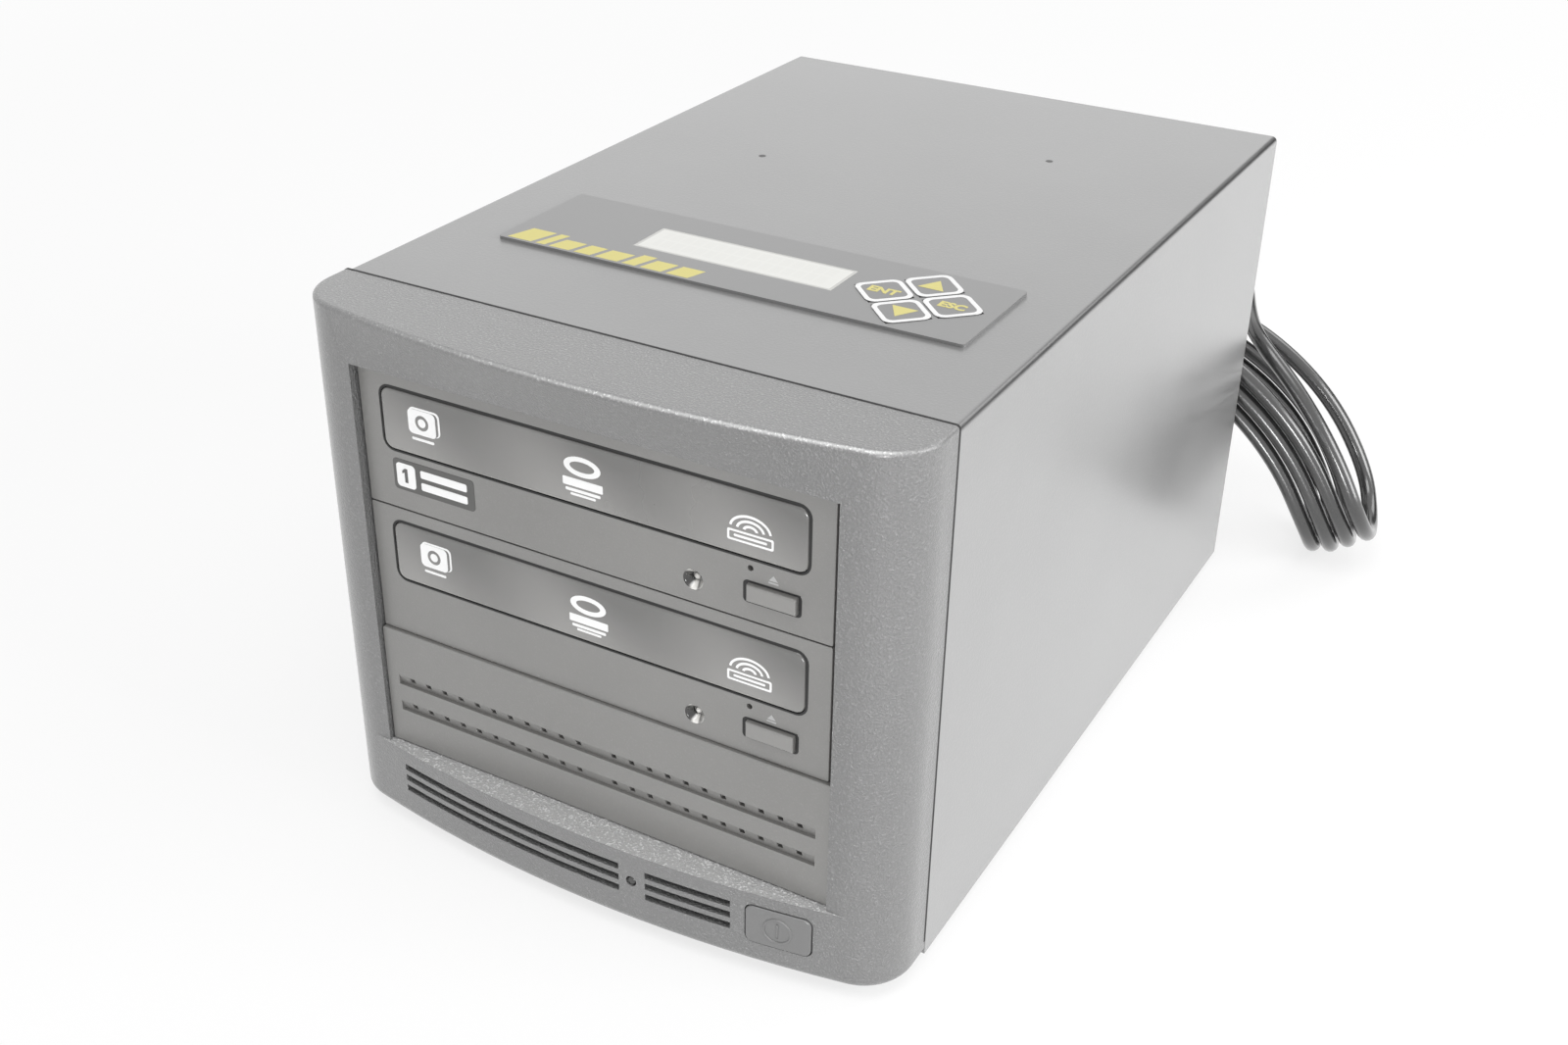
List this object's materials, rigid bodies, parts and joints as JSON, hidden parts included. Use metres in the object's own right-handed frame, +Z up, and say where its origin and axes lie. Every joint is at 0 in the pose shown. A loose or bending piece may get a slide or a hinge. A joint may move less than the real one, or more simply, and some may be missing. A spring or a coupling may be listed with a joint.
{
  "type": "disc duplicator tower",
  "caption": "Desktop disc duplicator: tray-loading optical drives behind a bulged vented bezel, with a display and keypad in its top and a mains cord in a hank.",
  "frame": {"origin": "on the surface that the feet stand on, under the middle of the tower's bounding box without its cord", "axes": "+X to the viewer's right of the front, +Y from the front to the back, +Z up"},
  "size_m": [0.2447, 0.3884, 0.1714],
  "materials": {
    "satin_silver": "textured silver grey moulding",
    "silver_blank": "fine satin moulding",
    "cover_paint": "glossy light grey paint",
    "zinc_sheet": "zinc-plated sheet",
    "drive_sheet": "plain sheet",
    "foot_rubber": "matt",
    "screw_steel": "zinc-plated",
    "overlay_film": "printed film",
    "window_pane": "tinted clear",
    "board_green": "solder mask",
    "key_cap": "satin",
    "drive_face": "fine satin silver grey",
    "black_plastic": "moulded",
    "loader_plastic": "moulded",
    "lamp_lens": "milky lens",
    "cord_sheath": "moulded sheath",
    "contact_metal": "plated",
    "cable_jacket": "extruded",
    "lead_jacket": "extruded",
    "button_silver": "satin silver"
  },
  "bodies": {
    "case": {"front_bezel": "satin_silver", "bay_blank_panel": "silver_blank", "case_cover": "cover_paint", "case_chassis": "zinc_sheet", "drive_brackets": "zinc_sheet", "rubber_feet": "foot_rubber", "cover_screws": "screw_steel", "drive_screws": "screw_steel", "keypad_overlay": "overlay_film", "display_window": "window_pane", "display_module": "board_green", "keypad_board": "board_green", "controller_board": "board_green", "board_standoffs": "screw_steel", "power_switch": "black_plastic", "power_light": "lamp_lens", "psu_case": "zinc_sheet", "psu_board": "board_green", "psu_fan_frame": "black_plastic", "mains_inlet": "black_plastic", "rear_panel_screws": "screw_steel", "rear_fan_frame": "black_plastic", "fan_guards": "contact_metal", "drive_guide_rods": "contact_metal", "disc_clamps": "loader_plastic", "drive_boards": "board_green", "data_cables": "cable_jacket", "power_harness": "lead_jacket", "cord_connector": "cord_sheath", "cord_lead": "cord_sheath", "cord_hank": "cord_sheath", "cord_tail": "cord_sheath", "mains_plug": "cord_sheath", "drive_1_chassis": "drive_sheet", "drive_1_faceplate": "drive_face", "drive_1_lamp": "lamp_lens", "drive_1_deck": "loader_plastic", "drive_2_chassis": "drive_sheet", "drive_2_faceplate": "drive_face", "drive_2_lamp": "lamp_lens", "drive_2_deck": "loader_plastic"},
    "power_button": {"power_button": "button_silver"},
    "psu_fan": {"psu_fan_rotor": "black_plastic"},
    "rear_fan": {"rear_fan_rotor": "black_plastic"},
    "tray_1": {"drive_1_tray": "loader_plastic", "drive_1_tray_front": "drive_face"},
    "loader_gear_1": {"drive_1_loader_gear": "loader_plastic"},
    "eject_button_1": {"drive_1_eject_button": "drive_face"},
    "sled_1": {"drive_1_sled": "loader_plastic"},
    "spindle_1": {"drive_1_turntable": "loader_plastic"},
    "tray_2": {"drive_2_tray": "loader_plastic", "drive_2_tray_front": "drive_face"},
    "loader_gear_2": {"drive_2_loader_gear": "loader_plastic"},
    "eject_button_2": {"drive_2_eject_button": "drive_face"},
    "sled_2": {"drive_2_sled": "loader_plastic"},
    "spindle_2": {"drive_2_turntable": "loader_plastic"},
    "enter_key": {"enter_key": "key_cap"},
    "escape_key": {"escape_key": "key_cap"},
    "up_key": {"up_key": "key_cap"},
    "down_key": {"down_key": "key_cap"}
  },
  "joints": [
    {"name": "tray_1_slide", "type": "slide", "parent": "case", "child": "tray_1", "axis": [0, -1, 0], "range_m": [0, 0.128]},
    {"name": "loader_gear_1_spin", "type": "hinge", "parent": "case", "child": "loader_gear_1", "pos_m": [-0.0488, -0.1219, 0.1367], "axis": [0, 0, 1], "range_deg": [0, 930]},
    {"name": "eject_button_1_press", "type": "slide", "parent": "case", "child": "eject_button_1", "axis": [0, 1, 0], "range_m": [0, 0.0013], "stiffness_N_per_m": 300, "springref_m": -0.001},
    {"name": "sled_1_travel", "type": "slide", "parent": "case", "child": "sled_1", "axis": [0, 1, 0], "range_m": [0, 0.026]},
    {"name": "spindle_1_spin", "type": "hinge", "parent": "case", "child": "spindle_1", "pos_m": [-0.0008, -0.0649, 0.1371], "axis": [0, 0, 1], "continuous": true},
    {"name": "tray_2_slide", "type": "slide", "parent": "case", "child": "tray_2", "axis": [0, -1, 0], "range_m": [0, 0.128]},
    {"name": "loader_gear_2_spin", "type": "hinge", "parent": "case", "child": "loader_gear_2", "pos_m": [-0.0488, -0.1219, 0.0944], "axis": [0, 0, 1], "range_deg": [0, 930]},
    {"name": "eject_button_2_press", "type": "slide", "parent": "case", "child": "eject_button_2", "axis": [0, 1, 0], "range_m": [0, 0.0013], "stiffness_N_per_m": 300, "springref_m": -0.001},
    {"name": "sled_2_travel", "type": "slide", "parent": "case", "child": "sled_2", "axis": [0, 1, 0], "range_m": [0, 0.026]},
    {"name": "spindle_2_spin", "type": "hinge", "parent": "case", "child": "spindle_2", "pos_m": [-0.0008, -0.0649, 0.0948], "axis": [0, 0, 1], "continuous": true},
    {"name": "power_button_press", "type": "slide", "parent": "case", "child": "power_button", "axis": [0, 1, 0], "range_m": [0, 0.002], "stiffness_N_per_m": 400, "springref_m": -0.001},
    {"name": "enter_key_press", "type": "slide", "parent": "case", "child": "enter_key", "axis": [0, 0, -1], "range_m": [0, 0.0004], "stiffness_N_per_m": 500, "springref_m": -0.0006},
    {"name": "escape_key_press", "type": "slide", "parent": "case", "child": "escape_key", "axis": [0, 0, -1], "range_m": [0, 0.0004], "stiffness_N_per_m": 500, "springref_m": -0.0006},
    {"name": "up_key_press", "type": "slide", "parent": "case", "child": "up_key", "axis": [0, 0, -1], "range_m": [0, 0.0004], "stiffness_N_per_m": 500, "springref_m": -0.0006},
    {"name": "down_key_press", "type": "slide", "parent": "case", "child": "down_key", "axis": [0, 0, -1], "range_m": [0, 0.0004], "stiffness_N_per_m": 500, "springref_m": -0.0006},
    {"name": "psu_fan_spin", "type": "hinge", "parent": "case", "child": "psu_fan", "pos_m": [-0.026, 0.1338, 0.1377], "axis": [0, 1, 0], "continuous": true},
    {"name": "rear_fan_spin", "type": "hinge", "parent": "case", "child": "rear_fan", "pos_m": [-0.038, 0.1298, 0.06], "axis": [0, 1, 0], "continuous": true}
  ],
  "couplings": [
    {"joint": "loader_gear_1_spin", "follows": "tray_1_slide", "rad_per_m": 125},
    {"joint": "loader_gear_2_spin", "follows": "tray_2_slide", "rad_per_m": 125}
  ]
}
